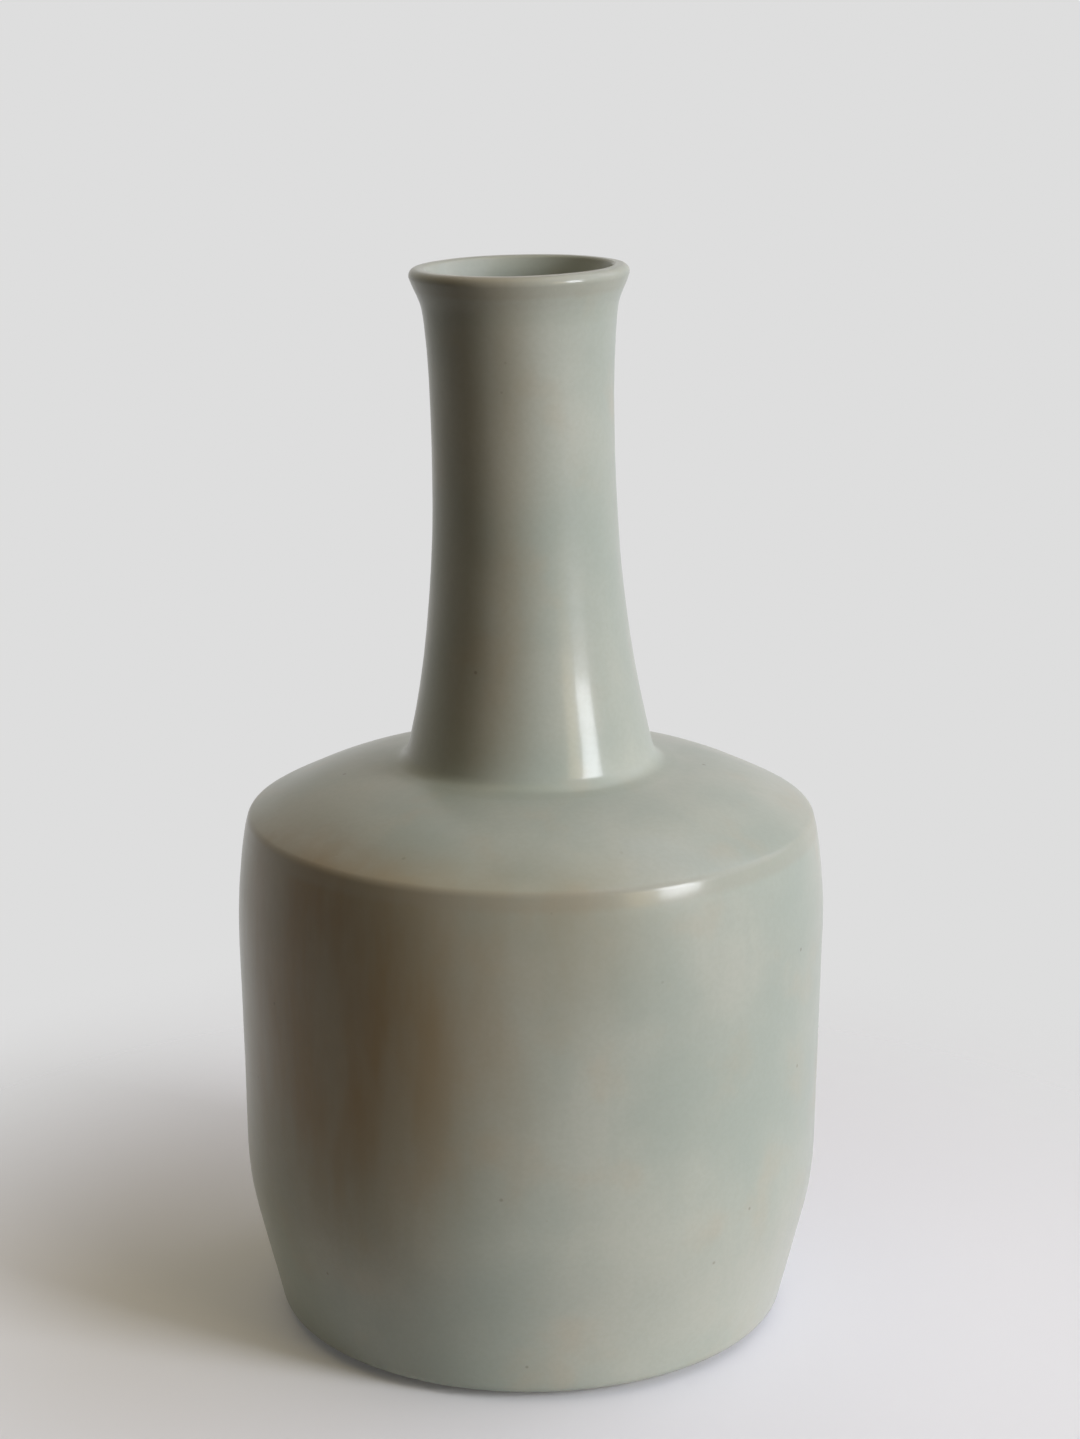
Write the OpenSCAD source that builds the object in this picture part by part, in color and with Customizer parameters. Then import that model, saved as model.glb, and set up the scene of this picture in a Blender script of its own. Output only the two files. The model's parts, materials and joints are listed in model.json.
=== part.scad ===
// Mallet vase of celadon-glazed stoneware, as a potter builds it: a thrown body wall on a floor
// with a foot ring, a domed shoulder lapped onto the wall, and a thrown neck socketed into the
// shoulder. Thin slip joints hold the clay sections together, and glaze coats cover them.
// Millimetres, +Z up. The origin is the middle of the foot, on the surface it stands on.
// Outline sizes are those of the glazed surface, because that is what can be measured.

/* [Overall] */
// Height from the foot to the highest point of the lip
vase_h = 230; // [215:1:260]
// Sideways lean of the neck towards -X, in degrees
neck_lean = 1.3; // [0:0.1:3]

/* [Foot] */
// Diameter of the foot ring
foot_d = 101; // [90:1:108]
// Width of the foot ring's wall
foot_w = 6.5; // [5:0.5:10]
// Depth of the hollow under the floor
foot_recess = 4; // [3.2:0.2:6]
// Height of the foot ring left bare of glaze
foot_bare_h = 1.3; // [0.9:0.1:1.8]
// Bevel on the foot ring's lower edges
foot_bevel = 0.6; // [0.2:0.1:0.8]

/* [Body] */
// Diameter of the belly at its widest, before it is rounded
belly_d = 127; // [120:0.2:140]
// Height of the widest place
belly_z = 94; // [84:1:98]
// How far the heel stands out beyond the foot ring
heel_out = 4.8; // [4:0.1:6]
// Height of the heel's corner before it is rounded
heel_z = 1.8; // [1.8:0.1:3]
// Rounding of the heel
heel_round = 4.7; // [2:0.1:6]
// Height at which the wall turns in towards the foot
turn_z = 31.5; // [26:0.5:40]
// How much narrower than the belly the wall is there, on the radius
turn_in = 1; // [0.5:0.1:3]
// Rounding of that turn
turn_round = 60; // [20:5:100]
// Rounding of the belly
belly_round = 110; // [40:10:200]
// Thickness of the clay wall
wall_t = 4.4; // [3.6:0.2:6]
// Thickness of the clay floor
floor_t = 6; // [5:0.5:9]

/* [Shoulder] */
// Height of the shoulder's corner before it is rounded
edge_z = 112.9; // [108:0.1:118]
// How much narrower than the belly the shoulder's corner is, on the radius
edge_in = 2.3; // [0.5:0.1:3]
// Rounding of the shoulder's corner
edge_round = 2.5; // [2:0.5:8]
// Rise of the shoulder from its corner to the neck
shoulder_rise = 11.3; // [10:0.1:16]
// How far the shoulder domes above a straight slope
dome_h = 2.6; // [1:0.1:3.2]
// Rounding of the dome
dome_round = 100; // [40:10:200]
// Thickness of the clay shoulder, measured upright
shoulder_t = 5.4; // [5:0.2:8]
// Rounding of the inside corner under the shoulder
inner_round = 6; // [3:0.5:10]

/* [Neck] */
// Diameter of the neck where it leaves the shoulder
root_d = 54; // [50:0.5:60]
// Diameter of the neck at its waist
waist_d = 38.4; // [34:0.2:42]
// Distance of the waist below the lip
waist_drop = 31; // [28:0.5:42]
// How sharply the neck flares towards the shoulder
flare_power = 2.5; // [1.6:0.1:3.4]
// Thickness of the clay neck
neck_t = 3.6; // [3:0.1:4.6]
// Depth of the neck's tenon in the shoulder
tenon_h = 3.2; // [2.4:0.1:3.6]

/* [Lip] */
// Diameter over the rolled lip
lip_d = 46; // [45:0.2:50]
// Height of the lip's flare
lip_h = 7.6; // [5.5:0.1:9]
// Angle of the lip's flare from upright
lip_flare = 25; // [14:1:30]
// Rounding of the lip's edge
lip_round = 1.7; // [1.2:0.1:2]
// Flat left on top of the lip
lip_flat = 0.2; // [0.1:0.1:0.6]
// Rounding of the crease under the lip
collar_round = 8; // [3:0.5:12]
// Depth over which the bore narrows below the lip
throat_h = 12; // [9:0.5:18]

/* [Joints and glaze] */
// Thickness of the glaze coats
glaze_t = 0.6; // [0.4:0.1:0.8]
// Thickness of the slip in a joint
slip_t = 0.4; // [0.3:0.1:0.6]
// Height of the ledge on which the wall stands, above the underside of the floor
ledge_h = 3; // [2:0.2:4]
// Size of the slip bead pressed into the corner between floor and wall
bead = 4; // [2:0.5:6]
// Distance of the lap joint below the shoulder's corner
lap_drop = 9.6; // [8:0.2:14]
// Depth of the lap joint
lap_h = 4; // [3:0.5:6]

/* [Hidden] */
$fn = 128;
// Steps in each rounded corner, and along each half of the neck's curve
arc_steps = 6;
neck_steps = 9;
// Overlap of cutting shapes past what they cut
past = 2;
// Share of a straight stretch that one rounding may take up
round_share = 0.45;
// Depth to which the neck's flare runs below the shoulder's surface where the lean lifts it most
flare_sink = 0.5;

clay_colour = [0.55, 0.49, 0.42];
slip_colour = [0.66, 0.60, 0.52];
glaze_colour = [0.64, 0.67, 0.61];

// Radii and heights of the glazed outline
foot_r = foot_d / 2;
heel_r = foot_r + heel_out;
belly_r = belly_d / 2;
turn_r = belly_r - turn_in;
edge_r = belly_r - edge_in;
root_r = root_d / 2;
waist_r = waist_d / 2;
root_z = edge_z + shoulder_rise;
dome_r = (edge_r + root_r) / 2;
dome_z = (edge_z + root_z) / 2 + dome_h;
dome_slope = (root_z - dome_z) / (dome_r - root_r);

// Lip, along the neck's own axis: the lean lifts one side of it to the full height
crest_r = lip_d / 2 - lip_round;
top_z = root_z + (vase_h - root_z - crest_r * sin(neck_lean)) / cos(neck_lean);
waist_z = top_z - waist_drop;
collar_z = top_z - lip_h;
lip_corner_r = crest_r + lip_round / tan((90 - lip_flare) / 2);
collar_r = lip_corner_r - lip_h * tan(lip_flare);
mouth_r = crest_r - lip_flat - lip_round;
throat_z = top_z - throat_h;
sink_z = root_z - root_r * tan(neck_lean) - flare_sink;

// Joints
floor_z = foot_recess + floor_t;
ledge_z = foot_recess + ledge_h;
skin_and_wall = glaze_t + wall_t;
floor_corner_r = between(heel_r, turn_r, (floor_z - heel_z) / (turn_z - heel_z)) - skin_and_wall;
spigot_r = floor_corner_r - slip_t;
lap_z = edge_z - lap_drop;
lap_r = between(edge_r, belly_r, lap_drop / (edge_z - belly_z)) - glaze_t - wall_t / 2;
ring_in_r = foot_r - foot_w;
neck_wall = neck_t + 2 * glaze_t;
bore_r = neck_r(sink_z) - neck_wall;
tenon_r = neck_r(sink_z) - glaze_t;
tenon_z = root_z - tenon_h;
under_drop = glaze_t + shoulder_t;
hole_z = root_z - under_drop - 2 * past;

function between(a, b, share) = a + (b - a) * share;
function unit(v) = v / norm(v);
function left_of(a, b) = unit([a.y - b.y, b.x - a.x]);
function slice(points, first, last) = [for (i = [first : last]) points[i]];
function last_of(list) = list[len(list) - 1];
function reversed(points) = [for (i = [len(points) - 1 : -1 : 0]) points[i]];

// Arc that rounds the corner b of the line a, b, c. A short line limits the radius.
function corner_arc(a, b, c, radius) =
    let (
        u = unit(a - b),
        w = unit(c - b),
        half = acos(u * w) / 2,
        r = min(radius, round_share * min(norm(a - b), norm(c - b)) * tan(half)),
        centre = b + unit(u + w) * r / sin(half),
        start = b + u * r / tan(half) - centre,
        side = sign(cross(b - a, c - b)),
        sweep = side * (180 - 2 * half),
        first = atan2(start.y, start.x)
    )
    [for (k = [0 : arc_steps]) let (t = first + sweep * k / arc_steps) centre + r * [cos(t), sin(t)]];

// Line through the points with each inner corner rounded to its radius
function rounded(points, radii) = [
    points[0],
    for (i = [1 : len(points) - 2])
        each corner_arc(points[i - 1], points[i], points[i + 1], radii[i - 1]),
    last_of(points)
];

// Line moved to its left by a distance, with mitred corners
function shifted(points, distance) = [
    for (i = [0 : len(points) - 1])
        let (
            before = left_of(points[max(i, 1) - 1], points[max(i, 1)]),
            last = len(points) - 1,
            after = left_of(points[min(i, last - 1)], points[min(i, last - 1) + 1])
        )
        points[i] + (before + after) * distance / (1 + before * after)
];

// Radius of the glazed neck at a height along its axis
function neck_r(z) = z < waist_z
    ? waist_r + (root_r - waist_r) * pow((waist_z - z) / (waist_z - root_z), flare_power)
    : waist_r + (collar_r - waist_r) * pow((z - waist_z) / (collar_z - waist_z), 2);

// Heights along the neck from just under the shoulder's surface to just under the collar
neck_zs = concat(
    [for (i = [0 : neck_steps - 1]) between(sink_z, waist_z, i / neck_steps)],
    [for (i = [0 : neck_steps - 1]) between(waist_z, collar_z, i / neck_steps)]
);

// Glazed outline of the body, from the foot ring up to the shoulder's slope inside the neck
body_skin = rounded(
    [
        [foot_r, foot_bare_h], [heel_r, heel_z], [turn_r, turn_z], [belly_r, belly_z],
        [edge_r, edge_z], [dome_r, dome_z], [root_r - 2 * past, root_z + 2 * past * dome_slope]
    ],
    [heel_round, turn_round, belly_round, edge_round, dome_round]
);
body_clay = concat(
    [[foot_r, foot_bare_h + glaze_t]],
    slice(shifted(body_skin, glaze_t), 1, len(body_skin) - 1)
);

// Glazed outline of the neck: up the outside to the lip's crest, then down the bore
collar_points = [
    [neck_r(last_of(neck_zs)), last_of(neck_zs)],
    [collar_r, collar_z], [lip_corner_r, top_z], [mouth_r, top_z]
];
neck_outside = concat(
    [[neck_r(sink_z), tenon_z]],
    [for (z = slice(neck_zs, 0, len(neck_zs) - 2)) [neck_r(z), z]],
    slice(rounded(collar_points, [collar_round, lip_round]), 0, 2 * arc_steps + 2)
);
bore_zs = [for (z = reversed(neck_zs)) if (z < throat_z - past) z];
neck_inside = concat(
    slice(
        rounded(
            [[crest_r - lip_flat, top_z], [mouth_r, top_z], [neck_r(throat_z) - neck_wall, throat_z]],
            [lip_round]
        ),
        0, arc_steps + 2
    ),
    [for (z = bore_zs) [neck_r(z) - neck_wall, z]],
    [[bore_r, tenon_z]]
);
neck_skin = concat(neck_outside, neck_inside);
neck_clay = shifted(neck_skin, glaze_t);
crest = len(neck_outside) - 1;
bore_end = len(neck_skin) - 1;

// Hollow of the body in bare clay, with a square or a beaded corner at the floor
function hollow(corner) = concat(
    [[0, floor_z]],
    corner,
    slice(
        rounded(
            [
                [floor_corner_r, floor_z],
                [turn_r - skin_and_wall, turn_z],
                [belly_r - skin_and_wall, belly_z],
                [edge_r - skin_and_wall,
                    between(edge_z, dome_z, skin_and_wall / (edge_r - dome_r)) - under_drop],
                [dome_r, dome_z - under_drop],
                [root_r, root_z - under_drop]
            ],
            [turn_round, belly_round, inner_round, dome_round]
        ),
        1, 4 * (arc_steps + 1) + 1
    ),
    [[0, root_z - under_drop]]
);
wall_lean = (turn_r - skin_and_wall - floor_corner_r) / (turn_z - floor_z);
square_hollow = hollow([[floor_corner_r, floor_z]]);
beaded_hollow = hollow([
    [floor_corner_r - bead, floor_z],
    [floor_corner_r + bead * wall_lean, floor_z + bead]
]);
glazed_hollow = shifted(beaded_hollow, glaze_t);

// Turns what is built upright about the root of the neck, so that it leans as the neck does
module leaned() {
    translate([0, 0, root_z]) rotate([0, -neck_lean, 0]) translate([0, 0, -root_z]) children();
}

// Part of the section between two radii and two heights
module zone(r0, r1, z0, z1) {
    translate([r0, z0]) square([r1 - r0, z1 - z0]);
}

// Section of the solid clay body, foot ring included, as if it were not hollow
module body_block() {
    polygon(concat([[0, 0], [foot_r, 0]], body_clay, [[0, last_of(body_clay).y]]));
}

// Section of the clay body between two radii and two heights
module block_zone(r0, r1, z0, z1) {
    intersection() {
        body_block();
        zone(r0, r1, z0, z1);
    }
}

// Section of the clay neck's outside, filled to its axis, open upwards over the lip
module neck_block() {
    polygon(concat(
        [[0, tenon_z - past], [tenon_r, tenon_z - past]],
        slice(neck_clay, 0, crest),
        [neck_skin[crest], [crest_r, top_z + past], [0, top_z + past]]
    ));
}

module foot_ring() {
    top = foot_recess - slip_t;
    color(clay_colour) rotate_extrude() polygon([
        [ring_in_r + foot_bevel, 0], [foot_r - foot_bevel, 0], [foot_r, foot_bevel],
        [foot_r, top], [ring_in_r, top], [ring_in_r, foot_bevel]
    ]);
}

module foot_slip() {
    color(slip_colour) rotate_extrude() {
        zone(ring_in_r, foot_r + slip_t, foot_recess - slip_t, foot_recess);
        block_zone(foot_r, foot_r + slip_t, 0, foot_recess);
    }
}

module floor_disc() {
    color(clay_colour) rotate_extrude() difference() {
        union() {
            block_zone(0, belly_r, 0, ledge_z);
            zone(0, spigot_r, foot_recess, floor_z);
        }
        zone(-past, foot_r + slip_t, -past, foot_recess);
    }
}

module floor_slip() {
    color(slip_colour) rotate_extrude() {
        block_zone(spigot_r, belly_r, ledge_z, ledge_z + slip_t);
        zone(spigot_r, floor_corner_r, ledge_z, floor_z);
        polygon([
            [floor_corner_r - bead, floor_z], [floor_corner_r, floor_z],
            [floor_corner_r + bead * wall_lean, floor_z + bead]
        ]);
    }
}

module body_wall() {
    color(clay_colour) rotate_extrude() difference() {
        union() {
            block_zone(floor_corner_r, belly_r, ledge_z + slip_t, lap_z - lap_h);
            block_zone(lap_r, belly_r, lap_z - lap_h, lap_z);
        }
        polygon(square_hollow);
    }
}

module shoulder_slip() {
    color(slip_colour) rotate_extrude() difference() {
        union() {
            block_zone(lap_r - slip_t, belly_r, lap_z, lap_z + slip_t);
            block_zone(lap_r - slip_t, lap_r, lap_z - lap_h, lap_z);
            block_zone(floor_corner_r, lap_r, lap_z - lap_h, lap_z - lap_h + slip_t);
        }
        polygon(square_hollow);
    }
}

module shoulder() {
    color(clay_colour) difference() {
        rotate_extrude() difference() {
            union() {
                block_zone(0, belly_r, lap_z + slip_t, top_z);
                block_zone(floor_corner_r, lap_r - slip_t, lap_z - lap_h + slip_t, lap_z + slip_t);
            }
            polygon(square_hollow);
        }
        leaned() {
            translate([0, 0, tenon_z - slip_t]) cylinder(r = tenon_r + slip_t, h = tenon_h + 2 * past);
            translate([0, 0, hole_z]) cylinder(r = bore_r + glaze_t, h = root_z - hole_z);
        }
    }
}

module neck_slip() {
    color(slip_colour) intersection() {
        leaned() rotate_extrude() {
            zone(bore_r + glaze_t, tenon_r + slip_t, tenon_z - slip_t, tenon_z);
            zone(tenon_r, tenon_r + slip_t, tenon_z - slip_t, root_z + past);
        }
        rotate_extrude() block_zone(0, dome_r, edge_z - under_drop, top_z);
    }
}

module neck() {
    color(clay_colour) leaned() rotate_extrude() polygon(neck_clay);
}

module outer_glaze() {
    color(glaze_colour) difference() {
        union() {
            rotate_extrude() polygon(concat([[0, foot_bare_h]], body_skin, [[0, last_of(body_skin).y]]));
            leaned() rotate_extrude()
                polygon(concat([[0, tenon_z]], slice(neck_skin, 0, crest), [[0, top_z]]));
        }
        rotate_extrude() body_block();
        leaned() rotate_extrude() neck_block();
    }
}

module inner_glaze() {
    color(glaze_colour) difference() {
        union() {
            rotate_extrude() polygon(beaded_hollow);
            leaned() rotate_extrude() polygon(concat(
                [[0, top_z], neck_skin[crest]],
                slice(neck_clay, crest, bore_end),
                [[bore_r + glaze_t, hole_z], [0, hole_z]]
            ));
        }
        rotate_extrude() polygon(glazed_hollow);
        leaned() rotate_extrude() polygon(concat(
            [[0, top_z + past], [crest_r, top_z + past]],
            slice(neck_skin, crest, bore_end),
            [[bore_r, hole_z - past], [0, hole_z - past]]
        ));
    }
}

module base_glaze() {
    color(glaze_colour) translate([0, 0, foot_recess - glaze_t]) cylinder(r = ring_in_r, h = glaze_t);
}

foot_ring();
foot_slip();
floor_disc();
floor_slip();
body_wall();
shoulder_slip();
shoulder();
neck_slip();
neck();
outer_glaze();
inner_glaze();
base_glaze();
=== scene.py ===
# %% [markdown]
# # A celadon mallet vase
#
# The vase of this lesson is stoneware: a drum body with a sloping shoulder, a tall waisted neck with a
# rolled lip, and a grey-green celadon glaze over everything but the foot. The clay sections and the
# joints between them come from a CAD model, which stays where it is. What is made here is what the eye
# meets: the skin of the glaze, the bare foot, and the finish of every surface.

# %% Load the CAD model
import json
import math

import bpy
import numpy as np
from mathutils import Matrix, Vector


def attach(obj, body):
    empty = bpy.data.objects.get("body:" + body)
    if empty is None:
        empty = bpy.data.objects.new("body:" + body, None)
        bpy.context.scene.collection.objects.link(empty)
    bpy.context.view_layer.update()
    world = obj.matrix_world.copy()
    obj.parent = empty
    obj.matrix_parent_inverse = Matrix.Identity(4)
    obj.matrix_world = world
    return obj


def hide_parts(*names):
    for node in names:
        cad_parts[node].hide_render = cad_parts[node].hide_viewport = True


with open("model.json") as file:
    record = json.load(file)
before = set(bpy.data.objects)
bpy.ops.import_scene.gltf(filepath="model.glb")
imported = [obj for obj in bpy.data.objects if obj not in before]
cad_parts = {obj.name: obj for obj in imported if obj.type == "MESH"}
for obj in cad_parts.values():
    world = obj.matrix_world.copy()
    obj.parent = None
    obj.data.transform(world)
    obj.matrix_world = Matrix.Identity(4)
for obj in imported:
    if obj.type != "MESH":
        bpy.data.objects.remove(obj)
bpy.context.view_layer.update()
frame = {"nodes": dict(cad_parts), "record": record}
print("CAD pieces:", ", ".join(sorted(frame["nodes"])))

# %% [markdown]
# ## The outline
#
# A pot that was thrown on a wheel is a body of revolution, so its shape is one line: the outline, as
# pairs of a radius and a height. It could be drawn as a curve and spun by a Screw modifier. Here it is
# worked out with numpy, because the same line then also tells where the glaze runs thin and where it
# gathers. The sizes follow the CAD model's closely, so the glaze lies on the clay that carries it.

# %% Corners of the outside, each a radius and a height
MM = 0.001
glaze_line = MM * np.array([50.5, 1.3])
heel = MM * np.array([55.3, 1.8])
turn_in = MM * np.array([62.5, 31.5])
belly = MM * np.array([63.5, 94.0])
lean_in = MM * np.array([62.3, 106.0])
shoulder_edge = MM * np.array([61.05, 112.9])
neck_root = MM * np.array([27.0, 124.2])
dome_rise = MM * np.array([0.0, 2.6])
dome = (shoulder_edge + neck_root) / 2 + dome_rise
waist = MM * np.array([19.2, 198.5])
collar = MM * np.array([20.43, 221.9])
lip_corner = MM * np.array([23.97, 229.5])
mouth = MM * np.array([19.4, 229.5])
print("belly", round(belly[0] * 2 / MM, 1), "mm across, lip", round(lip_corner[1] / MM, 1), "mm up")


# %% Rounded corners
def rounded_line(corners, radii, steps=24):
    """Line through the corners, with each inner corner replaced by an arc that touches both stretches.

    The arc's centre is on the corner's bisector, radius / sin(half the angle) away from the corner, and
    its points turn evenly from one touching point to the other.
    """
    corners = np.asarray(corners, float)
    parts = [corners[:1]]
    for before, corner, after, radius in zip(corners, corners[1:], corners[2:], radii):
        back = (before - corner) / np.linalg.norm(before - corner)
        ahead = (after - corner) / np.linalg.norm(after - corner)
        half = np.arccos(back @ ahead) / 2
        centre = corner + (back + ahead) / np.linalg.norm(back + ahead) * radius / np.sin(half)
        first = corner + back * radius / np.tan(half) - centre
        last = corner + ahead * radius / np.tan(half) - centre
        sweep = np.pi - 2 * half
        share = np.linspace(0, 1, steps)[:, None]
        arc = (np.sin((1 - share) * sweep) * first + np.sin(share * sweep) * last) / np.sin(sweep)
        parts.append(centre + arc)
    parts.append(corners[-1:])
    return np.concatenate(parts)


print("one rounded corner takes", len(rounded_line([collar, lip_corner, mouth], [MM])) - 2, "points")

# %% [markdown]
# ## The neck
#
# The neck opens slowly from its waist down to the shoulder, faster near the shoulder, and a little
# towards the lip. A power curve says just that with one number, the power, and needs no control points.
# It meets the shoulder in a crease, which the pooled glaze fills to a small round. The curve stops a
# stub short of the crease and of the lip, which leaves room for the rounding.

# %% The neck's curve
flare_power = 2.5
opening_power = 2
stub = 4 * MM


def neck_radius(height):
    """Waist radius plus two widenings: the shares of the height below it and above it, each to its power."""
    below = np.clip((waist[1] - height) / (waist[1] - neck_root[1]), 0, None) ** flare_power
    above = np.clip((height - waist[1]) / (collar[1] - waist[1]), 0, None) ** opening_power
    return waist[0] + (neck_root[0] - waist[0]) * below + (collar[0] - waist[0]) * above


def along_neck(first, last, inset=0.0, count=60):
    """Points on the neck's curve between two heights, moved inwards by an inset."""
    heights = np.linspace(first, last, count)
    return np.column_stack([neck_radius(heights) - inset, heights])


neck_side = along_neck(neck_root[1] + stub, collar[1] - stub)
print("neck is", round(2 * neck_side[:, 0].min() / MM, 1), "mm across at its waist")

# %% The outside line, from the foot to the neck
heel_round = 3 * MM
turn_round = 60 * MM
belly_round = 110 * MM
lean_round = 50 * MM
edge_round = 2.5 * MM
dome_round = 63 * MM
crease_round = 3.6 * MM

body_side = rounded_line(
    [glaze_line, heel, turn_in, belly, lean_in, shoulder_edge, dome, neck_root, neck_side[0]],
    [heel_round, turn_round, belly_round, lean_round, edge_round, dome_round, crease_round],
)
print("outside line:", len(body_side) + len(neck_side), "points up to the collar")

# %% [markdown]
# ## Over the lip and down inside
#
# The lip is a rolled edge: a short flare with a round rim that turns over into the bore. The glaze
# goes over it without a seam, so one line runs from the foot up the outside, over the lip, down the
# bore, along the inside of the shoulder and wall, and ends in the middle of the floor.

# %% The rim
neck_wall = 4.8 * MM
throat_height = 217.5 * MM
collar_round = 8 * MM
lip_round = 1.7 * MM
mouth_round = 1.15 * MM
throat_round = 12 * MM

throat = np.array([neck_radius(throat_height) - neck_wall, throat_height])
bore_side = along_neck(throat_height - stub, neck_root[1], neck_wall)
rim = rounded_line(
    [neck_side[-1], collar, lip_corner, mouth, throat, bore_side[0]],
    [collar_round, lip_round, mouth_round, throat_round],
)
print("rim:", len(rim), "points over the lip")

# %% The hollow, and the whole line of the glaze
body_wall = np.array([5.6 * MM, 0.0])
shoulder_drop = np.array([0.0, 6.6 * MM])
floor_height = 10.6 * MM
floor_corner = np.array([51.6 * MM, floor_height])
bore_round = 1.5 * MM
dome_inside_round = 60 * MM
under_edge_round = 6 * MM
floor_round = 5 * MM

bore_foot = np.array([neck_root[0] - neck_wall, neck_root[1]]) - shoulder_drop
up_the_shoulder = (dome - shoulder_edge) / (shoulder_edge - dome)[0]
under_edge = shoulder_edge + up_the_shoulder * body_wall[0] - shoulder_drop
hollow = rounded_line(
    [bore_side[-1], bore_foot, dome - shoulder_drop, under_edge, belly - body_wall,
     turn_in - body_wall, floor_corner, [0.0, floor_height]],
    [bore_round, dome_inside_round, under_edge_round, belly_round, turn_round, floor_round],
)
skin_line = np.concatenate([body_side[:-1], neck_side[:-1], rim[:-1], bore_side[:-1], hollow])
print("glaze from foot to floor:", len(skin_line), "points")


# %% [markdown]
# ## Rows along a line
#
# A line of arcs and curves has its points where they were easy to work out, not where a mesh needs
# them. Rows should be close where the line turns and may be far apart where it runs straight. So each
# short stretch is given an effort, its length and its turning, and the rows share the effort evenly.

# %% Even effort
def spaced(line, step, turn):
    """Points along a line at even steps of effort: a stretch's length / step plus its turning / turn."""
    chord = np.diff(line, axis=0)
    length = np.hypot(chord[:, 0], chord[:, 1])
    heading = np.unwrap(np.arctan2(chord[:, 1], chord[:, 0]))
    bend = np.abs(np.gradient(heading))
    effort = np.concatenate([[0], np.cumsum(length / step + bend / turn)])
    wanted = np.linspace(0, effort[-1], int(np.ceil(effort[-1])) + 1)
    return np.column_stack([np.interp(wanted, effort, line[:, 0]), np.interp(wanted, effort, line[:, 1])])


def distance_along(line):
    """Length of the line from its start to each of its points."""
    chord = np.diff(line, axis=0)
    return np.concatenate([[0], np.cumsum(np.hypot(chord[:, 0], chord[:, 1]))])


def right_hand(line):
    """Unit vectors to the right of the line's direction: out of the pot all along the glaze."""
    ahead = np.gradient(line, axis=0)
    side = np.column_stack([ahead[:, 1], -ahead[:, 0]])
    return side / np.linalg.norm(side, axis=1)[:, None]


print("the glaze's line is", round(distance_along(skin_line)[-1] / MM), "mm long")

# %% Rows of the glaze
row_step = 2 * MM
row_turn = math.radians(5.2)

skin_rows = spaced(skin_line, row_step, row_turn)
skin_length = distance_along(skin_rows)
skin_side = right_hand(skin_rows)
crest_length = skin_length[skin_rows[:, 1].argmax()]
print("rows of glaze:", len(skin_rows), "with the lip's crest", round(crest_length / MM), "mm along")

# %% [markdown]
# ## Where glaze is thin and where it pools
#
# Molten glaze creeps off an edge and gathers in a crease. On the vase the lip and the shoulder's edge
# show it: a thin brown line where the clay nearly comes through. The crease of the neck has the opposite,
# a slightly deeper green. The outline's bend gives both directly. It is worked out on an even line,
# smoothed over a few millimetres as the glaze itself would smooth it, and kept for shape and colour. The
# colour is moved a little down from the bend, so that its brown line lies just under the shoulder's edge. At
# the foot the glaze that ran down the wall stops in a roll, so there it stays deep round the bend.

# %% Bend of the outline, smoothed by a bell curve
fine_step = 0.25 * MM
smooth_over = 0.9 * MM
bell_ends = 4

fine_length = np.arange(0, skin_length[-1], fine_step)
fine_radius = np.interp(fine_length, skin_length, skin_rows[:, 0])
fine_height = np.interp(fine_length, skin_length, skin_rows[:, 1])
heading = np.unwrap(np.arctan2(np.gradient(fine_height), np.gradient(fine_radius)))
reach = np.arange(-bell_ends * smooth_over, bell_ends * smooth_over, fine_step)
bell = np.exp(-((reach / smooth_over) ** 2) / 2)
bend = np.convolve(np.gradient(heading, fine_step), bell / bell.sum(), mode="same")
print("sharpest round:", round(1 / np.abs(bend).max() / MM, 2), "mm after smoothing")

# %% Depth of the glaze, from 0 to 1
even_depth = 0.5
strong_bend = 0.14 / MM
colour_drop = 1.5 * MM
foot_roll = 0.65
foot_roll_reach = 14 * MM

skin_depth = np.interp(skin_length, fine_length, even_depth - even_depth * np.tanh(bend / strong_bend))
skin_depth = np.maximum(skin_depth, foot_roll * np.exp(-((skin_length / foot_roll_reach) ** 2)))
# The colour's depth is read a little further along the line, which moves the thin line's brown down below
# the edge.
colour_depth = np.interp(skin_length + colour_drop, skin_length, skin_depth)
print("glaze depth:", round(skin_depth.min(), 2), "on edges to", round(skin_depth.max(), 2), "in creases")

# %% [markdown]
# ## Ripples of the hand
#
# Nothing thrown by hand is a perfect body of revolution. Fingers leave a faint spiral, and the glaze
# settles in slow waves. A sum of cosine waves is enough for both, if each wave goes round the axis a
# whole number of times, because it then closes on itself. Outside, the heights are hundredths of a
# millimetre, and only show in the way a highlight wavers. Inside, the rings are a tenth of a millimetre.

# %% Waves and throwing rings
turns_below = 8
wave_pitches = (16 * MM, 60 * MM)


def waves(angle, along, count, seed):
    """Sum of cosine waves over the angle and the length, with seeded whole turns, pitches and phases."""
    pick = np.random.default_rng(seed)
    turns = pick.integers(0, turns_below, count)[:, None, None]
    pitch = pick.uniform(*wave_pitches, count)[:, None, None]
    phase = pick.uniform(0, 2 * np.pi, count)[:, None, None]
    return np.cos(turns * angle + 2 * np.pi * along / pitch + phase).sum(0) / np.sqrt(count)


def throwing_rings(angle, along, pitch):
    """A cosine along the length that climbs one pitch with each turn, as a finger does on the wheel."""
    return np.cos(2 * np.pi * along / pitch + angle)


columns = 180
turn_angle = np.linspace(0, 2 * np.pi, columns, endpoint=False)[None, :]
print("columns round the axis:", columns)

# %% [markdown]
# ## From a grid of points to a mesh
#
# Rows follow the outline and columns go round the axis, so the mesh is a grid of quads that closes on
# itself. Where a line starts and ends on the axis, its first and last rows shrink to one point each and
# are closed by triangles. Where it is a loop, such as the section of a ring, the last row joins the first.


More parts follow.
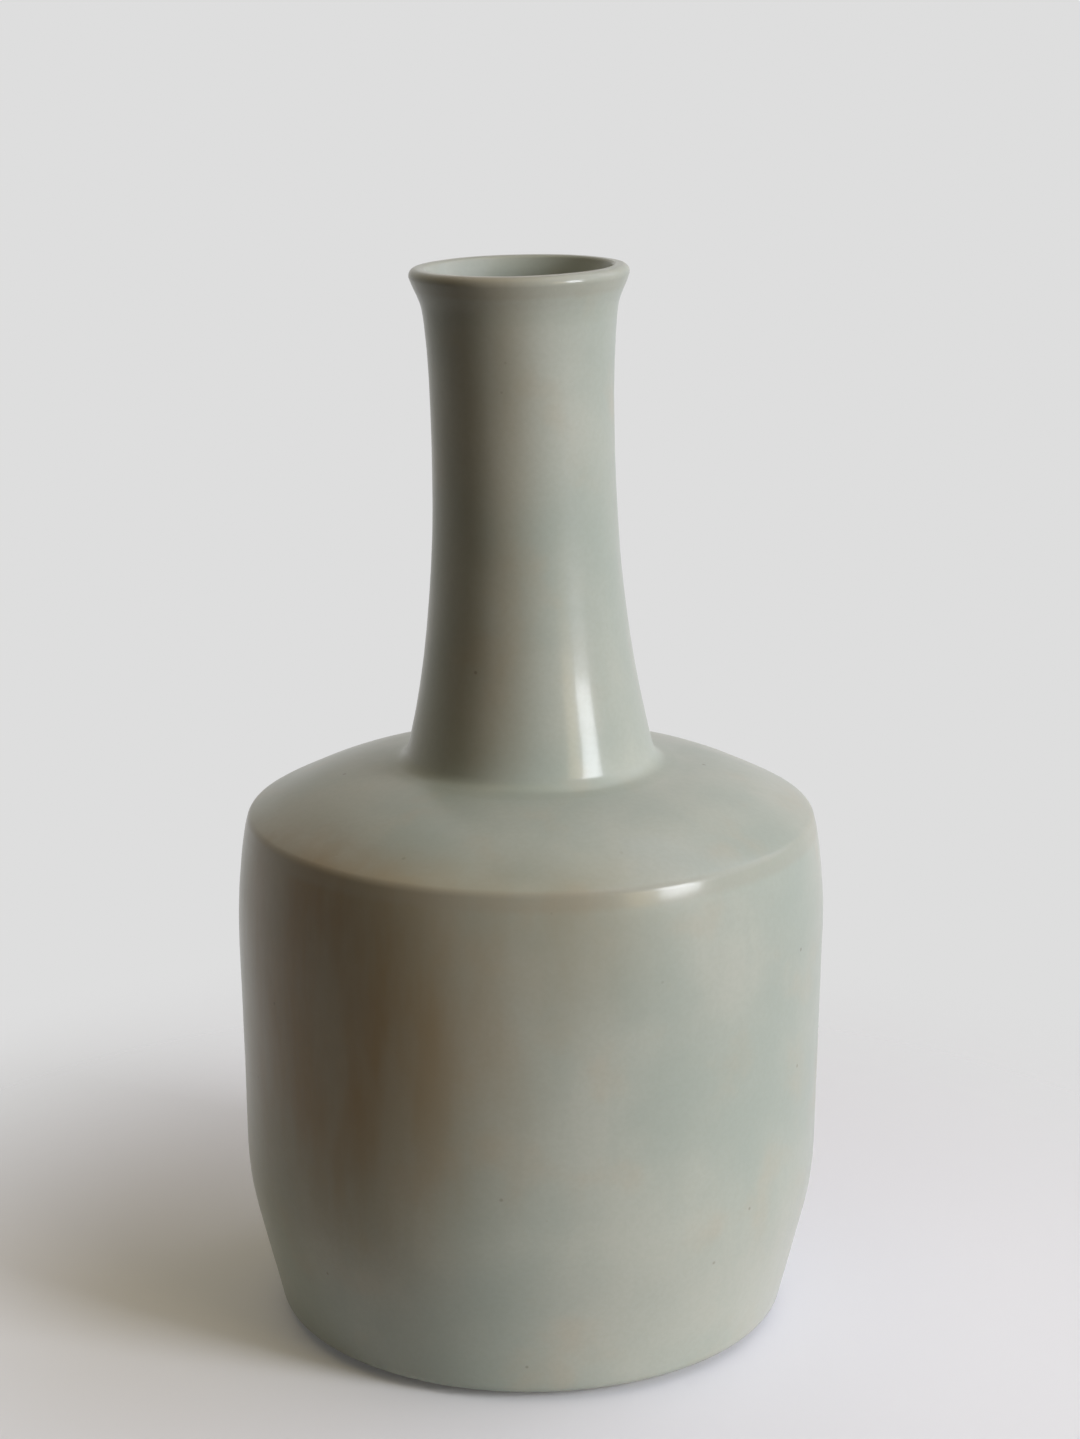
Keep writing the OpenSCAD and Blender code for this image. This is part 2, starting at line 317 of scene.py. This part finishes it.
# %% Points and faces of a grid
def around(radius, height):
    """Points at a radius and a height, with one column for each angle round the axis."""
    radius = np.broadcast_to(radius, (len(radius), columns))
    height = np.broadcast_to(height, radius.shape)
    return np.stack([radius * np.cos(turn_angle), radius * np.sin(turn_angle), height], -1)


def closed_grid(points, loop):
    """Vertices of points[row, column] and the faces between neighbours, closed by a loop or by two poles."""
    rows = len(points)
    if loop:
        vertices = points.reshape(-1, 3)
        index = np.arange(rows * columns).reshape(rows, columns)
        lower = index
        upper = np.roll(index, -1, axis=0)
    else:
        vertices = np.concatenate([points[0, :1], points[1:-1].reshape(-1, 3), points[-1, :1]])
        index = 1 + np.arange((rows - 2) * columns).reshape(rows - 2, columns)
        lower = index[:-1]
        upper = index[1:]
    quads = np.stack([lower, np.roll(lower, -1, 1), np.roll(upper, -1, 1), upper], -1).reshape(-1, 4)
    faces = quads.tolist()
    if not loop:
        first = np.zeros(columns, int)
        last = np.full(columns, len(vertices) - 1)
        faces += np.column_stack([first, np.roll(index[0], -1), index[0]]).tolist()
        faces += np.column_stack([index[-1], np.roll(index[-1], -1), last]).tolist()
    return vertices.tolist(), faces


print("one turn of the outside line is", len(around(body_side[:, :1], body_side[:, 1:])) * columns, "points")

# %% A turned piece
sharp_from = math.radians(50)


def turned_piece(name, points, loop):
    """Mesh object of a grid of points[row, column], whose faces look to the right of the outline."""
    vertices, faces = closed_grid(points, loop)
    mesh = bpy.data.meshes.new(name)
    mesh.from_pydata(vertices, [], faces)
    mesh.shade_smooth()
    mesh.set_sharp_from_angle(angle=sharp_from)
    piece = bpy.data.objects.new(name, mesh)
    bpy.context.scene.collection.objects.link(piece)
    print(name, "has", sum(len(face) - 2 for face in faces), "triangles")
    return piece


def keep_depth(piece, depth):
    """Writes the glaze's depth at each vertex as an attribute, which the celadon's colour reads."""
    piece.data.attributes.new("glaze_depth", "FLOAT", "POINT")
    piece.data.attributes["glaze_depth"].data.foreach_set("value", depth.astype(np.float32))
    print("depth written for", len(depth), "points of", piece.name)


# %% [markdown]
# ## The glaze coat
#
# On the real vase the glaze is a skin about half a millimetre thick, fused to the clay. A single sheet
# would look the same in a picture, but a real coat has a back and an edge, so this one is a closed
# shell: up the back of the coat, round its edge at the foot, and along the skin. The skin is moved along
# its own normal by the pooling, the waves and the rings. The neck leans a little to one side, as on a
# pot that was lifted off the wheel while soft, and the tilt of its rows grows in above the root.

# %% Height of the glaze's skin over an even coat
pool_height = 0.3 * MM
wave_height = 0.03 * MM
outside_ring_height = 0.008 * MM
inside_ring_height = 0.1 * MM
ring_pitch = 6.5 * MM
calm_near_axis = 8 * MM

along = skin_length[:, None]
ring_height = np.where(along > crest_length, inside_ring_height, outside_ring_height)
raised = pool_height * (skin_depth[:, None] - even_depth)
raised = raised + wave_height * waves(turn_angle, along, count=14, seed=3)
raised = raised + ring_height * throwing_rings(turn_angle, along, ring_pitch)
raised = raised * np.clip(skin_rows[:, :1] / calm_near_axis, 0, 1)
print("skin moves from", round(raised.min() / MM, 3), "to", round(raised.max() / MM, 3), "mm")

# %% The neck's lean
neck_lean = math.radians(1.3)
tilt_grows_over = 15 * MM


def leaned(points):
    """Above the root a point goes towards -X by height times sin(lean), and the rows tilt with it."""
    above = np.clip(points[..., 2] - neck_root[1], 0, None)
    share = np.clip(above / tilt_grows_over, 0, 1)
    share = share * share * (3 - 2 * share)
    moved = points.copy()
    moved[..., 0] -= above * math.sin(neck_lean)
    moved[..., 2] += share * points[..., 0] * math.sin(neck_lean) - above * (1 - math.cos(neck_lean))
    return moved


print("lip is", round((lip_corner[1] - neck_root[1]) * math.sin(neck_lean) / MM, 1), "mm off the axis")

# %% The coat as a closed shell
coat_back = 0.5 * MM
back_step = 9 * MM
back_turn = math.radians(18)
edge_retreat = 0.5 * MM
edge_reach = 2 * MM
retreat_middle = 0.5
retreat_swing = 0.3

retreat = retreat_middle + retreat_swing * waves(turn_angle, 0 * along, count=6, seed=8)
retreat = edge_retreat * np.clip(retreat, 0, 1)
reached = along + retreat * np.exp(-along / edge_reach)
skin_radius = np.interp(reached, skin_length, skin_rows[:, 0])
skin_height = np.interp(reached, skin_length, skin_rows[:, 1])
skin_radius = skin_radius + raised * np.interp(reached, skin_length, skin_side[:, 0])
skin_height = skin_height + raised * np.interp(reached, skin_length, skin_side[:, 1])
back_rows = spaced(skin_rows - coat_back * skin_side, back_step, back_turn)[::-1]
coat_points = np.concatenate([around(back_rows[:, :1], back_rows[:, 1:]), around(skin_radius, skin_height)])
glaze_coat = turned_piece("glaze_coat", leaned(coat_points), loop=False)

# %% The depth of the glaze, kept on the mesh
coat_depth = np.concatenate([np.full(len(back_rows), even_depth), colour_depth])
point_depth = np.concatenate([coat_depth[:1], np.repeat(coat_depth[1:-1], columns), coat_depth[-1:]])
keep_depth(glaze_coat, point_depth)
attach(glaze_coat, "root")
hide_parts("outer_glaze", "inner_glaze")

# %% [markdown]
# ## The bare foot
#
# The ring that the vase stands on is wiped clean before firing, or it would stick to the kiln shelf. It
# was cut with a turning tool on the wheel, so it has fine grooves and softly broken edges. Its section
# is a loop, a small rounded rectangle, carried round the axis.

# %% Shape of the foot ring
ring_inside = 44.0 * MM
ring_outside = 50.5 * MM
ring_top = 3.6 * MM
ring_middle = [ring_outside, ring_top / 2]
top_break = 0.3 * MM
foot_break = 0.8 * MM
groove_pitch = 0.85 * MM
groove_depth = 0.03 * MM
groove_step = 0.2 * MM
groove_turn = math.radians(10)

ring_line = rounded_line(
    [ring_middle, [ring_outside, ring_top], [ring_inside, ring_top], [ring_inside, 0.0],
     [ring_outside, 0.0], ring_middle],
    [top_break, top_break, foot_break, foot_break],
)
ring_rows = spaced(ring_line, groove_step, groove_turn)[:-1]
ring_along = distance_along(ring_rows)[:, None]
cut = groove_depth * (throwing_rings(turn_angle, ring_along, groove_pitch) - 1) / 2
ring_side = right_hand(ring_rows)
ring_points = around(ring_rows[:, :1] + cut * ring_side[:, :1], ring_rows[:, 1:] + cut * ring_side[:, 1:])
bare_foot = turned_piece("bare_foot", ring_points, loop=True)
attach(bare_foot, "root")
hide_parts("foot_ring")

# %% [markdown]
# ## Glaze under the foot
#
# The hollow inside the foot ring is glazed too. The glaze lies in it like a shallow pool: level in the
# middle, and drawn up against the ring in a small curve. The outline goes out along the pool's face and
# back along the clay, and both of its ends are on the axis.

# %% Outline of the pool
pool_face = 3.4 * MM
pool_back = 3.95 * MM
creep = 1.2 * MM
creep_round = 0.9 * creep
pool_gap = 0.05 * MM
pool_rim = ring_inside - pool_gap
pool_step = 1.5 * MM
pool_turn = math.radians(15)

pool_line = rounded_line(
    [[0.0, pool_face], [pool_rim, pool_face], [pool_rim, pool_face - creep]],
    [creep_round],
)
pool_line = np.concatenate([pool_line, [[pool_rim, pool_back], [0.0, pool_back]]])
pool_rows = spaced(pool_line, pool_step, pool_turn)
print("rows of the pool:", len(pool_rows))

# %% Shape of the pool
sag_wave = 0.06 * MM
sag_even = 0.05 * MM
pool_depth = 0.6

pool_along = distance_along(pool_rows)[:, None]
facing = (pool_rows[:, 1:] <= pool_face) & (pool_rows[:, :1] < ring_inside - creep)
sag = facing * np.clip(pool_rows[:, :1] / calm_near_axis, 0, 1)
sag = sag * (sag_wave * waves(turn_angle, pool_along, count=10, seed=21) + sag_even)
pool_points = around(pool_rows[:, :1], pool_rows[:, 1:] - sag)
base_pool = turned_piece("base_pool", pool_points, loop=False)
keep_depth(base_pool, np.full(len(base_pool.data.vertices), pool_depth))
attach(base_pool, "root")
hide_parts("base_glaze")


# %% [markdown]
# ## Tools for materials
#
# A material is a small network of nodes. Each pattern reads Object coordinates, which are metres in the
# vase's own frame, so a pattern's scale is a real size: a noise of scale 50 has features of about 20 mm.
# These helpers add a node, fill its inputs with values or links, and mix colours.

# %% Colours and nodes
def srgb(red, green, blue):
    """Linear colour of a screen colour given from 0 to 255."""
    screen = np.array([red, green, blue]) / 255
    linear = np.where(screen <= 0.04045, screen / 12.92, ((screen + 0.055) / 1.055) ** 2.4)
    return (*linear.tolist(), 1.0)


def add(tree, kind, inputs=(), **options):
    """Adds a node, sets its options, and gives each input a value or a link from another node."""
    node = tree.nodes.new("ShaderNode" + kind)
    for option, value in options.items():
        setattr(node, option, value)
    sockets = {socket.identifier: socket for socket in node.inputs}
    for name, value in dict(inputs).items():
        if isinstance(value, bpy.types.NodeSocket):
            tree.links.new(value, sockets[name])
        else:
            sockets[name].default_value = value
    return node


def new_material(name):
    """A material with its plain shader and the coordinates that its patterns read."""
    material = bpy.data.materials.new(name)
    material.use_nodes = True
    tree = material.node_tree
    shader = tree.nodes["Principled BSDF"]
    place = add(tree, "TexCoord").outputs["Object"]
    return material, tree, shader, place


print("a screen grey of 128 is", round(srgb(128, 128, 128)[0], 3), "in linear light")

# %% Patterns
noise_span = (0.3, 0.7)


def noise(tree, place, scale, detail):
    """Soft noise from 0 to 1, most of which is within the noise span."""
    return add(tree, "TexNoise", {"Vector": place, "Scale": scale, "Detail": detail}).outputs["Fac"]


def eased(tree, value, start, end, low=0.0, high=1.0):
    """Goes smoothly from low to high while the value goes from start to end."""
    inputs = {"Value": value, "From Min": start, "From Max": end, "To Min": low, "To Max": high}
    return add(tree, "MapRange", inputs, interpolation_type="SMOOTHSTEP").outputs["Result"]


def mixed(tree, share, first, second, blend="MIX"):
    """Mixes two colours by a share from 0 to 1."""
    inputs = {"Factor_Float": share, "A_Color": first, "B_Color": second}
    node = add(tree, "Mix", inputs, data_type="RGBA", blend_type=blend)
    return next(socket for socket in node.outputs if socket.identifier == "Result_Color")


def stretched(tree, place, across, upright):
    """Coordinates times one factor across and one upright, which draws a noise out where it is small."""
    return add(tree, "Mapping", {"Vector": place, "Scale": (across, across, upright)}).outputs["Vector"]


def distance_from(tree, place, point):
    """Distance of each place from a point."""
    inputs = {"Vector": place, "Vector_001": point}
    return add(tree, "VectorMath", inputs, operation="DISTANCE").outputs["Value"]


def calculated(tree, operation, first, second):
    """One calculation on two numbers."""
    return add(tree, "Math", {"Value": first, "Value_001": second}, operation=operation).outputs["Value"]


print("a noise is eased between", noise_span[0], "and", noise_span[1])

# %% [markdown]
# ## Celadon
#
# Celadon is a glaze with a little iron, fired short of air. It is never one colour: it clouds from
# grey-green to a warmer grey, it has drawn-out runs where it moved down the wall, and a few iron specks
# and pinholes that show only close up. On edges it thins to a brown line, and in creases it deepens. The
# surface is satin rather than glassy, with a broad sheen under a sharper one, which a coat over a
# rougher base gives.

# %% Celadon colours
celadon_green = srgb(153, 159, 148)
celadon_grey = srgb(167, 168, 156)
celadon_warm = srgb(169, 160, 141)
thin_glaze = srgb(146, 137, 118)
deep_glaze = srgb(136, 143, 126)
iron_speck = srgb(92, 82, 66)
print("green against grey, in linear light:", round(celadon_green[1] / celadon_grey[1], 2))

# %% Clouds of colour
cloud_scale = 24.0
cloud_span = (0.34, 0.66)
patch_scale = 62.0
patch_span = (0.52, 0.74)
patch_share = 0.4
run_scale = 150.0
run_drawn = 0.2
run_span = (0.5, 0.72)
run_share = 0.22
grain_scale = 900.0
grain_share = 0.1


def clouded(tree, place):
    """Green and grey clouds, and over them warm patches, drawn-out green runs and a fine deep grain."""
    drawn = stretched(tree, place, 1.0, run_drawn)
    clouds = eased(tree, noise(tree, place, cloud_scale, 4.0), *cloud_span)
    patches = eased(tree, noise(tree, place, patch_scale, 3.0), *patch_span, 0.0, patch_share)
    runs = eased(tree, noise(tree, drawn, run_scale, 2.0), *run_span, 0.0, run_share)
    grain = eased(tree, noise(tree, place, grain_scale, 2.0), *noise_span, 0.0, grain_share)
    colour = mixed(tree, clouds, celadon_green, celadon_grey)
    colour = mixed(tree, patches, colour, celadon_warm)
    colour = mixed(tree, runs, colour, celadon_green)
    return mixed(tree, grain, colour, deep_glaze)


print("clouds are about", round(1 / cloud_scale / MM), "mm wide")

# %% [markdown]
# ## Painted warm shade
#
# Where little light reaches, on the front-left, the shade is painted into the colour as a warm brown. Here
# that is a soft patch on one side of the front, a smaller one close under the shoulder and a faint one drawn
# out up the neck. A patch by its distance from a point or a line needs no texture image, and a noise drawn
# out upright breaks it into faint runs.

# %% Places of the painted shade
# Warm brown painted into the colour where the front-left, the shoulder's underside and the neck's left lie
# in shade.
painted_shade_brown = srgb(138, 116, 79)
squeeze = 0.8
side_shade_centre = (-43 * MM, -47 * MM, 86 * MM * squeeze)
side_shade_fade = (60 * MM, 15 * MM)
side_shade_most = 0.88
edge_shade_centre = (-8 * MM, -62 * MM, 110 * MM)
edge_shade_fade = (45 * MM, 10 * MM)
edge_shade_most = 0.36
neck_shade_line = (-10 * MM, -18 * MM, 0.0)
neck_shade_fade = (15 * MM, 4 * MM)
neck_shade_most = 0.3
body_ends = (121 * MM, 111 * MM)
neck_starts = (118 * MM, 132 * MM)
print("side blush is centred", round(side_shade_centre[2] / squeeze / MM), "mm up")

# %% Share of the painted shade
streak_scale = 110.0
streak_drawn = 0.25
streak_range = (0.8, 1.1)


def painted_shade(tree, place):
    """Share of the painted shade: two round patches by the distance from a point, and one along an upright
    line.
    """
    from_side = distance_from(tree, stretched(tree, place, 1.0, squeeze), side_shade_centre)
    from_edge = distance_from(tree, place, edge_shade_centre)
    from_neck = distance_from(tree, stretched(tree, place, 1.0, 0.0), neck_shade_line)
    wide = eased(tree, from_side, *side_shade_fade, 0.0, side_shade_most)
    small = eased(tree, from_edge, *edge_shade_fade, 0.0, edge_shade_most)
    upright = eased(tree, from_neck, *neck_shade_fade, 0.0, neck_shade_most)
    height = add(tree, "SeparateXYZ", {"Vector": place}).outputs["Z"]
    most = calculated(tree, "MAXIMUM", wide, small)
    below = calculated(tree, "MULTIPLY", most, eased(tree, height, *body_ends))
    above = calculated(tree, "MULTIPLY", upright, eased(tree, height, *neck_starts))
    both = calculated(tree, "ADD", below, above)
    streaks = noise(tree, stretched(tree, place, 1.0, streak_drawn), streak_scale, 3.0)
    return calculated(tree, "MULTIPLY", both, eased(tree, streaks, *noise_span, *streak_range))


print("streaks are drawn out", round(1 / streak_drawn), "times upright")

# %% Colour by the depth of the glaze
thin_span = (0.42, 0.1)
brown_at_full_shade = 0.5
brown_range = (0.22, 0.5)
deep_span = (0.58, 0.95)
deep_share = 0.2


def by_depth(tree, colour, shade_share):
    """Browner where the glaze is thin, and more so where shade is painted, and a deeper green where it is
    deep.
    """
    depth = add(tree, "Attribute", attribute_name="glaze_depth").outputs["Fac"]
    # In the painted shade the edges' brown line is painted stronger as well.
    brown_edge = eased(tree, shade_share, 0.0, brown_at_full_shade, *brown_range)
    thin = calculated(tree, "MULTIPLY", eased(tree, depth, *thin_span), brown_edge)
    colour = mixed(tree, thin, colour, thin_glaze)
    return mixed(tree, eased(tree, depth, *deep_span, 0.0, deep_share), colour, deep_glaze)


print("an edge is brown by", brown_range[0], "and in the blush by", brown_range[1])

# %% Celadon material
speck_scale = 210.0
speck_edge = (0.12, 0.05)
speck_luck = (0.8, 0.86)
speck_share = 0.45
pit_edge = (0.1, 0.02)
pit_share = 0.5
ripple_scale = 330.0
ripple_share = 0.8
relief = 0.03 * MM
sheen_scale = 45.0
sheen_range = (0.29, 0.38)
satin = {"IOR": 1.4, "Specular IOR Level": 0.15, "Coat Weight": 0.32, "Coat Roughness": 0.14}


def celadon_glaze():
    """Clouds, painted shade, depth and specks for the colour, ripples less pinholes for the surface."""
    material, tree, shader, place = new_material("celadon_glaze")
    # Painted shade: the front-left, the underside of the shoulder and the neck's left go warm brown.
    shade_share = painted_shade(tree, place)
    colour = mixed(tree, shade_share, clouded(tree, place), painted_shade_brown)
    colour = by_depth(tree, colour, shade_share)

    cells = add(tree, "TexVoronoi", {"Vector": place, "Scale": speck_scale}).outputs
    lucky = eased(tree, cells["Color"], *speck_luck)
    speck = calculated(tree, "MULTIPLY", eased(tree, cells["Distance"], *speck_edge), lucky)
    colour = mixed(tree, calculated(tree, "MULTIPLY", speck, speck_share), colour, iron_speck)

    ripple = calculated(tree, "MULTIPLY", noise(tree, place, ripple_scale, 2.0), ripple_share)
    pits = calculated(tree, "MULTIPLY", eased(tree, cells["Distance"], *pit_edge), pit_share)
    height = calculated(tree, "SUBTRACT", ripple, pits)
    bump = add(tree, "Bump", {"Height": height, "Strength": 1.0, "Distance": relief})
    sheen = eased(tree, noise(tree, place, sheen_scale, 5.0), *noise_span, *sheen_range)
    tree.links.new(colour, shader.inputs["Base Color"])
    tree.links.new(sheen, shader.inputs["Roughness"])
    tree.links.new(bump.outputs["Normal"], shader.inputs["Normal"])
    for socket, value in satin.items():
        shader.inputs[socket].default_value = value
    return material


celadon = celadon_glaze()
for piece in (glaze_coat, base_pool):
    piece.data.materials.append(celadon)
print("celadon has", len(celadon.node_tree.nodes), "nodes")

# %% [markdown]
# ## Bare stoneware, raw clay and slip
#
# The foot is the one place where the fired clay shows: dark from iron, dry and gritty, a little paler
# where it has been rubbed. Inside the walls are the same clay as it was thrown, and the finer slip that
# joins its sections. They are hidden by the glaze, but each is a piece of its own and can be looked at
# by itself, so each has its finish: grit, tool rings and a dry surface.

# %% Dry clay
grit_dark = srgb(58, 48, 40)
grit_pale = srgb(196, 182, 160)
grit_edge = (0.42, 0.2)
grit_kinds = (0.45, 0.6)
clay_cloud_scale = 55.0
finer_than_grit = 1.7
dry_range = (0.74, 0.92)
dry_specular = 0.3


def dry_clay(name, colour_dark, colour_light, grit_scale, ring_scale, grit_share, grit_height):
    """Fired clay: soft clouds of colour, dark and pale grit, tool rings round the axis, a dry surface."""
    material, tree, shader, place = new_material(name)
    clouds = eased(tree, noise(tree, place, clay_cloud_scale, 5.0), *noise_span)
    grains = add(tree, "TexVoronoi", {"Vector": place, "Scale": grit_scale}).outputs
    grain = eased(tree, grains["Distance"], *grit_edge, 0.0, grit_share)
    kind = eased(tree, grains["Color"], *grit_kinds)
    rings = noise(tree, stretched(tree, place, 0.0, 1.0), ring_scale, 2.0)
    colour = mixed(tree, clouds, colour_dark, colour_light)
    colour = mixed(tree, grain, colour, mixed(tree, kind, grit_dark, grit_pale))
    fine = noise(tree, place, grit_scale * finer_than_grit, 3.0)
    height = calculated(tree, "ADD", rings, calculated(tree, "ADD", fine, grain))
    bump = add(tree, "Bump", {"Height": height, "Strength": 1.0, "Distance": grit_height})
    tree.links.new(colour, shader.inputs["Base Color"])
    tree.links.new(eased(tree, fine, *noise_span, *dry_range), shader.inputs["Roughness"])
    tree.links.new(bump.outputs["Normal"], shader.inputs["Normal"])
    shader.inputs["Specular IOR Level"].default_value = dry_specular
    print(name, "has grit of about", round(1 / grit_scale / MM, 2), "mm")
    return material


# %% Finishes of the clay pieces
stoneware = dry_clay(
    "bare_stoneware", srgb(74, 61, 50), srgb(104, 88, 73),
    grit_scale=1300.0, ring_scale=900.0, grit_share=0.6, grit_height=0.08 * MM,
)
raw_clay = dry_clay(
    "clay_body", srgb(142, 126, 108), srgb(164, 148, 129),
    grit_scale=1000.0, ring_scale=260.0, grit_share=0.35, grit_height=0.1 * MM,
)
slip = dry_clay(
    "slip", srgb(168, 154, 136), srgb(184, 171, 153),
    grit_scale=1900.0, ring_scale=420.0, grit_share=0.15, grit_height=0.04 * MM,
)
bare_foot.data.materials.append(stoneware)
finish_of_slot = {"clay_body": raw_clay, "slip": slip}
for subpart in frame["record"]["subparts"]:
    if subpart["material_slot"] in finish_of_slot:
        node = frame["nodes"][subpart["node"]]
        node.material_slots[0].material = finish_of_slot[subpart["material_slot"]]
        print(subpart["node"], "is finished as", subpart["material_slot"])

# %% [markdown]
# ## Floor and light
#
# The vase stands on a plain pale floor that fades into a pale surround, so that no edge shows from any
# side. A soft window at the right gives the drawn-out highlights on neck and shoulder, and a weaker
# light beside it, like a curtain, draws out their left edge. A broad light higher up fills the right
# side, and a ceiling lights the shoulder and the mouth. The surround only glows from behind, with a
# little from the left, so that the far side does not go dark.

# %% Floor
floor_half = 3.0
floor_corners = [(-floor_half, -floor_half, 0), (floor_half, -floor_half, 0)]
floor_corners += [(floor_half, floor_half, 0), (-floor_half, floor_half, 0)]
floor_mesh = bpy.data.meshes.new("floor")
floor_mesh.from_pydata(floor_corners, [], [(0, 1, 2, 3)])
floor = bpy.data.objects.new("floor", floor_mesh)
bpy.context.scene.collection.objects.link(floor)
print("floor is", 2 * floor_half, "m wide")

# %% Paint that fades into the surround
floor_pale = (0.74, 0.735, 0.75, 1.0)
floor_roughness = 0.9
floor_glow = 0.05
floor_fade = (0.09, 0.24)
white = (1.0, 1.0, 1.0, 1.0)


def looked_at(tree):
    """1 for a ray from the camera, or one that a glossy or clear surface passes on, and 0 for any other."""
    rays = add(tree, "LightPath").outputs
    direct = calculated(tree, "MAXIMUM", rays["Is Camera Ray"], rays["Is Glossy Ray"])
    return calculated(tree, "MAXIMUM", direct, rays["Is Transmission Ray"])


floor_paint, floor_tree, floor_shader, floor_place = new_material("pale_floor")
floor_shader.inputs["Base Color"].default_value = floor_pale
floor_shader.inputs["Roughness"].default_value = floor_roughness
floor_shader.inputs["Emission Color"].default_value = white
glow = calculated(floor_tree, "MULTIPLY", looked_at(floor_tree), floor_glow)
floor_tree.links.new(glow, floor_shader.inputs["Emission Strength"])
away = add(floor_tree, "VectorMath", {"Vector": floor_place}, operation="LENGTH").outputs["Value"]
gone = eased(floor_tree, away, *floor_fade)
clear = add(floor_tree, "BsdfTransparent").outputs["BSDF"]
floor_mix = {"Fac": gone, "Shader": floor_shader.outputs["BSDF"], "Shader_001": clear}
fading = add(floor_tree, "MixShader", floor_mix)
floor_tree.links.new(fading.outputs["Shader"], floor_tree.nodes["Material Output"].inputs["Surface"])
floor_mesh.materials.append(floor_paint)
print("floor fades from", floor_fade[0], "to", floor_fade[1], "m")

# %% The surround
no_light = (0.0, 0.0, 0.0, 1.0)
surround_pale = (0.73, 0.73, 0.73, 1.0)
glow_behind = (0.54, 0.51, 0.45, 1.0)
behind_span = (0.15, 1.0)
glow_left = (0.27, 0.245, 0.2, 1.0)
left_wall = (-0.8, 0.6, 0.0)
left_span = (0.2, 1.0)

surround = bpy.data.worlds.new("surround")
bpy.context.scene.world = surround
surround.use_nodes = True
sky = surround.node_tree
sky.nodes.clear()
direction = add(sky, "TexCoord").outputs["Generated"]
behind = add(sky, "SeparateXYZ", {"Vector": direction}).outputs["Y"]
from_behind = mixed(sky, eased(sky, behind, *behind_span), no_light, glow_behind)
beside = add(sky, "VectorMath", {"Vector": direction, "Vector_001": left_wall}, operation="DOT_PRODUCT")
from_left = mixed(sky, eased(sky, beside.outputs["Value"], *left_span), no_light, glow_left)
fill = add(sky, "Background", {"Color": mixed(sky, 1.0, from_behind, from_left, "ADD"), "Strength": 1.0})
seen = add(sky, "Background", {"Color": surround_pale, "Strength": 1.0})
backgrounds = {"Shader": fill.outputs["Background"], "Shader_001": seen.outputs["Background"]}
either = add(sky, "MixShader", {"Fac": looked_at(sky), **backgrounds})
add(sky, "OutputWorld", {"Surface": either.outputs["Shader"]})
print("surround glows", glow_behind[:3], "behind and", glow_left[:3], "at the left")

# %% A soft lamp
vase_middle = Vector((0.0, 0.0, 0.115))


def soft_lamp(name, azimuth, elevation, distance, width, height, watts, colour):
    """A rectangular lamp that looks at the vase's middle from an azimuth right of the camera."""
    flat = math.cos(math.radians(elevation))
    towards = Vector((
        math.sin(math.radians(azimuth)) * flat,
        -math.cos(math.radians(azimuth)) * flat,
        math.sin(math.radians(elevation)),
    ))
    lamp = bpy.data.lights.new(name, "AREA")
    lamp.shape = "RECTANGLE"
    lamp.size = width
    lamp.size_y = height
    lamp.energy = watts
    lamp.color = colour
    holder = bpy.data.objects.new(name, lamp)
    holder.location = vase_middle + towards * distance
    holder.rotation_euler = towards.to_track_quat("Z", "Y").to_euler()
    bpy.context.scene.collection.objects.link(holder)
    print(name, "gives", watts, "W")


# %% The lamps
soft_lamp(
    "window", azimuth=58.5, elevation=15, distance=1.2,
    width=0.36, height=0.48, watts=14.2, colour=(0.91, 0.94, 1.0),
)
soft_lamp(
    "curtain", azimuth=42, elevation=12, distance=1.2,
    width=0.25, height=0.42, watts=1.7, colour=(1.0, 0.8, 0.48),
)
soft_lamp(
    "upper_right", azimuth=92, elevation=45, distance=1.8,
    width=2.4, height=2.0, watts=20.8, colour=(0.73, 0.77, 1.0),
)
soft_lamp(
    "ceiling", azimuth=0, elevation=85, distance=1.5,
    width=1.6, height=1.6, watts=5.8, colour=(1.0, 0.82, 0.43),
)

# %% [markdown]
# ## Camera
#
# The camera stands some sixty centimetres in front of the vase, a few centimetres above the lip, and looks
# down by about fifteen degrees. The lens comes from the focal length in pixels of the picture's long side.

# %% Camera at the picture's place
picture_height = 1439
focal_pixels = 3026
sensor = 36.0
camera_place = (0.0, -0.628, 0.2969)
camera_tilt = math.radians(75.32)
camera_turn = math.radians(-0.18)

camera_data = bpy.data.cameras.new("camera")
camera_data.sensor_width = sensor
camera_data.lens = focal_pixels / picture_height * sensor
camera = bpy.data.objects.new("camera", camera_data)
camera.location = camera_place
camera.rotation_euler = (camera_tilt, 0.0, camera_turn)
bpy.context.scene.collection.objects.link(camera)
bpy.context.scene.camera = camera
bpy.context.scene.view_settings.view_transform = "Standard"
print("lens", round(camera_data.lens, 1), "mm")
